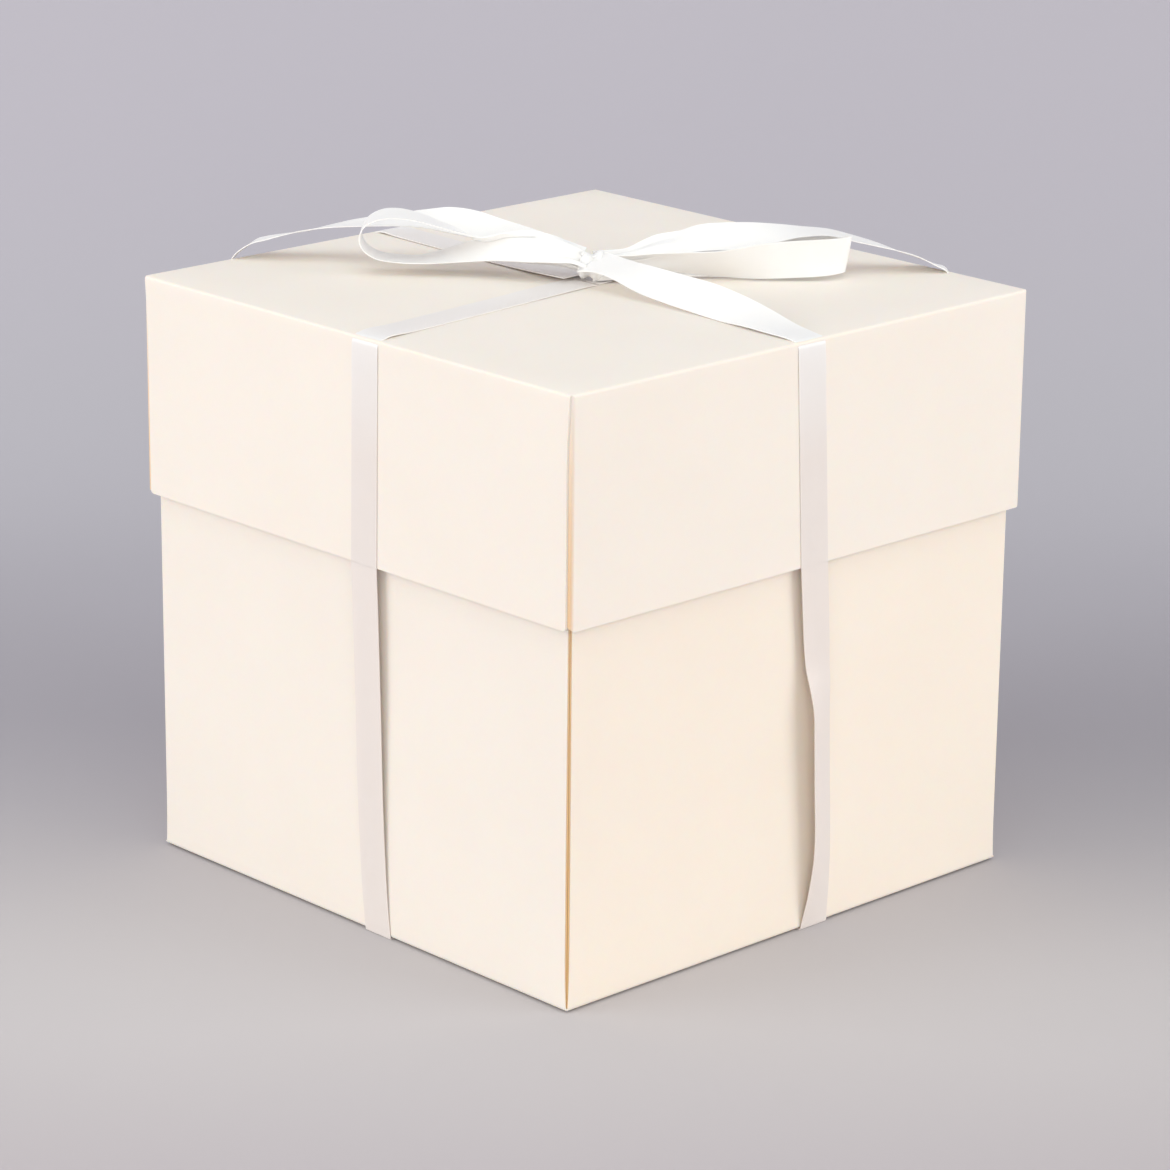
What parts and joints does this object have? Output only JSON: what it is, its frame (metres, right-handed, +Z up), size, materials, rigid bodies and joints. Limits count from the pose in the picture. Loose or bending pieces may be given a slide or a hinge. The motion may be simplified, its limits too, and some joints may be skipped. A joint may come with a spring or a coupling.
{
  "type": "explosion box",
  "caption": "Square explosion box: lift-off lid, nested card layers whose walls fall open, a small gift box inside, and a satin ribbon tied round it in a bow.",
  "frame": {"origin": "middle of the underside of the ribbon strip that crosses under the box, on the table", "axes": "+Z up; -Y is the box's front, the left-hand face in the picture, and +X its right-hand face; the bow runs along the lid's diagonal from -X -Y to +X +Y"},
  "size_m": [0.1801, 0.18, 0.1816],
  "materials": {
    "ivory_card": "smooth matte ivory cardstock",
    "white_satin": "white satin ribbon"
  },
  "bodies": {
    "base": {"outer_floor": "ivory_card", "middle_floor": "ivory_card", "inner_floor": "ivory_card", "gift_tray": "ivory_card", "ribbon_under_front_back": "white_satin", "ribbon_under_left_right": "white_satin"},
    "lid": {"lid_top": "ivory_card", "lid_skirt_front": "ivory_card", "lid_skirt_right": "ivory_card", "lid_skirt_back": "ivory_card", "lid_skirt_left": "ivory_card", "lid_tab_front_1": "ivory_card", "lid_tab_front_2": "ivory_card", "lid_tab_back_1": "ivory_card", "lid_tab_back_2": "ivory_card"},
    "ribbon": {"ribbon_over_front": "white_satin", "ribbon_over_right": "white_satin", "ribbon_over_back": "white_satin", "ribbon_over_left": "white_satin", "ribbon_drop_front": "white_satin", "ribbon_drop_right": "white_satin", "ribbon_drop_back": "white_satin", "ribbon_drop_left": "white_satin", "bow_knot": "white_satin", "bow_loop_left": "white_satin", "bow_loop_right": "white_satin", "bow_tail_left": "white_satin", "bow_tail_right": "white_satin"},
    "gift_lid": {"gift_lid": "ivory_card"},
    "outer_front": {"outer_wall_front": "ivory_card"},
    "outer_right": {"outer_wall_right": "ivory_card"},
    "outer_back": {"outer_wall_back": "ivory_card"},
    "outer_left": {"outer_wall_left": "ivory_card"},
    "middle_front": {"middle_wall_front": "ivory_card"},
    "middle_right": {"middle_wall_right": "ivory_card"},
    "middle_back": {"middle_wall_back": "ivory_card"},
    "middle_left": {"middle_wall_left": "ivory_card"},
    "inner_front": {"inner_wall_front": "ivory_card"},
    "inner_right": {"inner_wall_right": "ivory_card"},
    "inner_back": {"inner_wall_back": "ivory_card"},
    "inner_left": {"inner_wall_left": "ivory_card"}
  },
  "joints": [
    {"name": "lid_lift", "type": "slide", "parent": "base", "child": "lid", "axis": [0, 0, 1], "range_m": [0, 0.7]},
    {"name": "ribbon_off", "type": "slide", "parent": "lid", "child": "ribbon", "axis": [0, 0, 1], "range_m": [0, 0.15], "deforming": ["ribbon_drop_front", "ribbon_drop_right", "ribbon_drop_back", "ribbon_drop_left"]},
    {"name": "gift_lid_lift", "type": "slide", "parent": "base", "child": "gift_lid", "axis": [0, 0, 1], "range_m": [0, 0.03]},
    {"name": "outer_front_fold", "type": "hinge", "parent": "base", "child": "outer_front", "pos_m": [0, -0.0825, 0.0005], "axis": [1, 0, 0], "range_deg": [0, 90]},
    {"name": "outer_right_fold", "type": "hinge", "parent": "base", "child": "outer_right", "pos_m": [0.0825, 0, 0.0005], "axis": [0, 1, 0], "range_deg": [0, 90]},
    {"name": "outer_back_fold", "type": "hinge", "parent": "base", "child": "outer_back", "pos_m": [0, 0.0825, 0.0005], "axis": [-1, 0, 0], "range_deg": [0, 90]},
    {"name": "outer_left_fold", "type": "hinge", "parent": "base", "child": "outer_left", "pos_m": [-0.0825, 0, 0.0005], "axis": [0, -1, 0], "range_deg": [0, 90]},
    {"name": "middle_front_fold", "type": "hinge", "parent": "base", "child": "middle_front", "pos_m": [0, -0.0795, 0.0013], "axis": [1, 0, 0], "range_deg": [0, 90]},
    {"name": "middle_right_fold", "type": "hinge", "parent": "base", "child": "middle_right", "pos_m": [0.0795, 0, 0.0013], "axis": [0, 1, 0], "range_deg": [0, 90]},
    {"name": "middle_back_fold", "type": "hinge", "parent": "base", "child": "middle_back", "pos_m": [0, 0.0795, 0.0013], "axis": [-1, 0, 0], "range_deg": [0, 90]},
    {"name": "middle_left_fold", "type": "hinge", "parent": "base", "child": "middle_left", "pos_m": [-0.0795, 0, 0.0013], "axis": [0, -1, 0], "range_deg": [0, 90]},
    {"name": "inner_front_fold", "type": "hinge", "parent": "base", "child": "inner_front", "pos_m": [0, -0.0765, 0.0021], "axis": [1, 0, 0], "range_deg": [0, 90]},
    {"name": "inner_right_fold", "type": "hinge", "parent": "base", "child": "inner_right", "pos_m": [0.0765, 0, 0.0021], "axis": [0, 1, 0], "range_deg": [0, 90]},
    {"name": "inner_back_fold", "type": "hinge", "parent": "base", "child": "inner_back", "pos_m": [0, 0.0765, 0.0021], "axis": [-1, 0, 0], "range_deg": [0, 90]},
    {"name": "inner_left_fold", "type": "hinge", "parent": "base", "child": "inner_left", "pos_m": [-0.0765, 0, 0.0021], "axis": [0, -1, 0], "range_deg": [0, 90]}
  ],
  "couplings": [
    {"joint": "outer_front_fold", "follows": "lid_lift", "rad_per_m": 2.2436},
    {"joint": "outer_right_fold", "follows": "lid_lift", "rad_per_m": 2.2436},
    {"joint": "outer_back_fold", "follows": "lid_lift", "rad_per_m": 2.2436},
    {"joint": "outer_left_fold", "follows": "lid_lift", "rad_per_m": 2.2436},
    {"joint": "middle_front_fold", "follows": "lid_lift", "rad_per_m": 2.2436},
    {"joint": "middle_right_fold", "follows": "lid_lift", "rad_per_m": 2.2436},
    {"joint": "middle_back_fold", "follows": "lid_lift", "rad_per_m": 2.2436},
    {"joint": "middle_left_fold", "follows": "lid_lift", "rad_per_m": 2.2436},
    {"joint": "inner_front_fold", "follows": "lid_lift", "rad_per_m": 2.2436},
    {"joint": "inner_right_fold", "follows": "lid_lift", "rad_per_m": 2.2436},
    {"joint": "inner_back_fold", "follows": "lid_lift", "rad_per_m": 2.2436},
    {"joint": "inner_left_fold", "follows": "lid_lift", "rad_per_m": 2.2436}
  ]
}
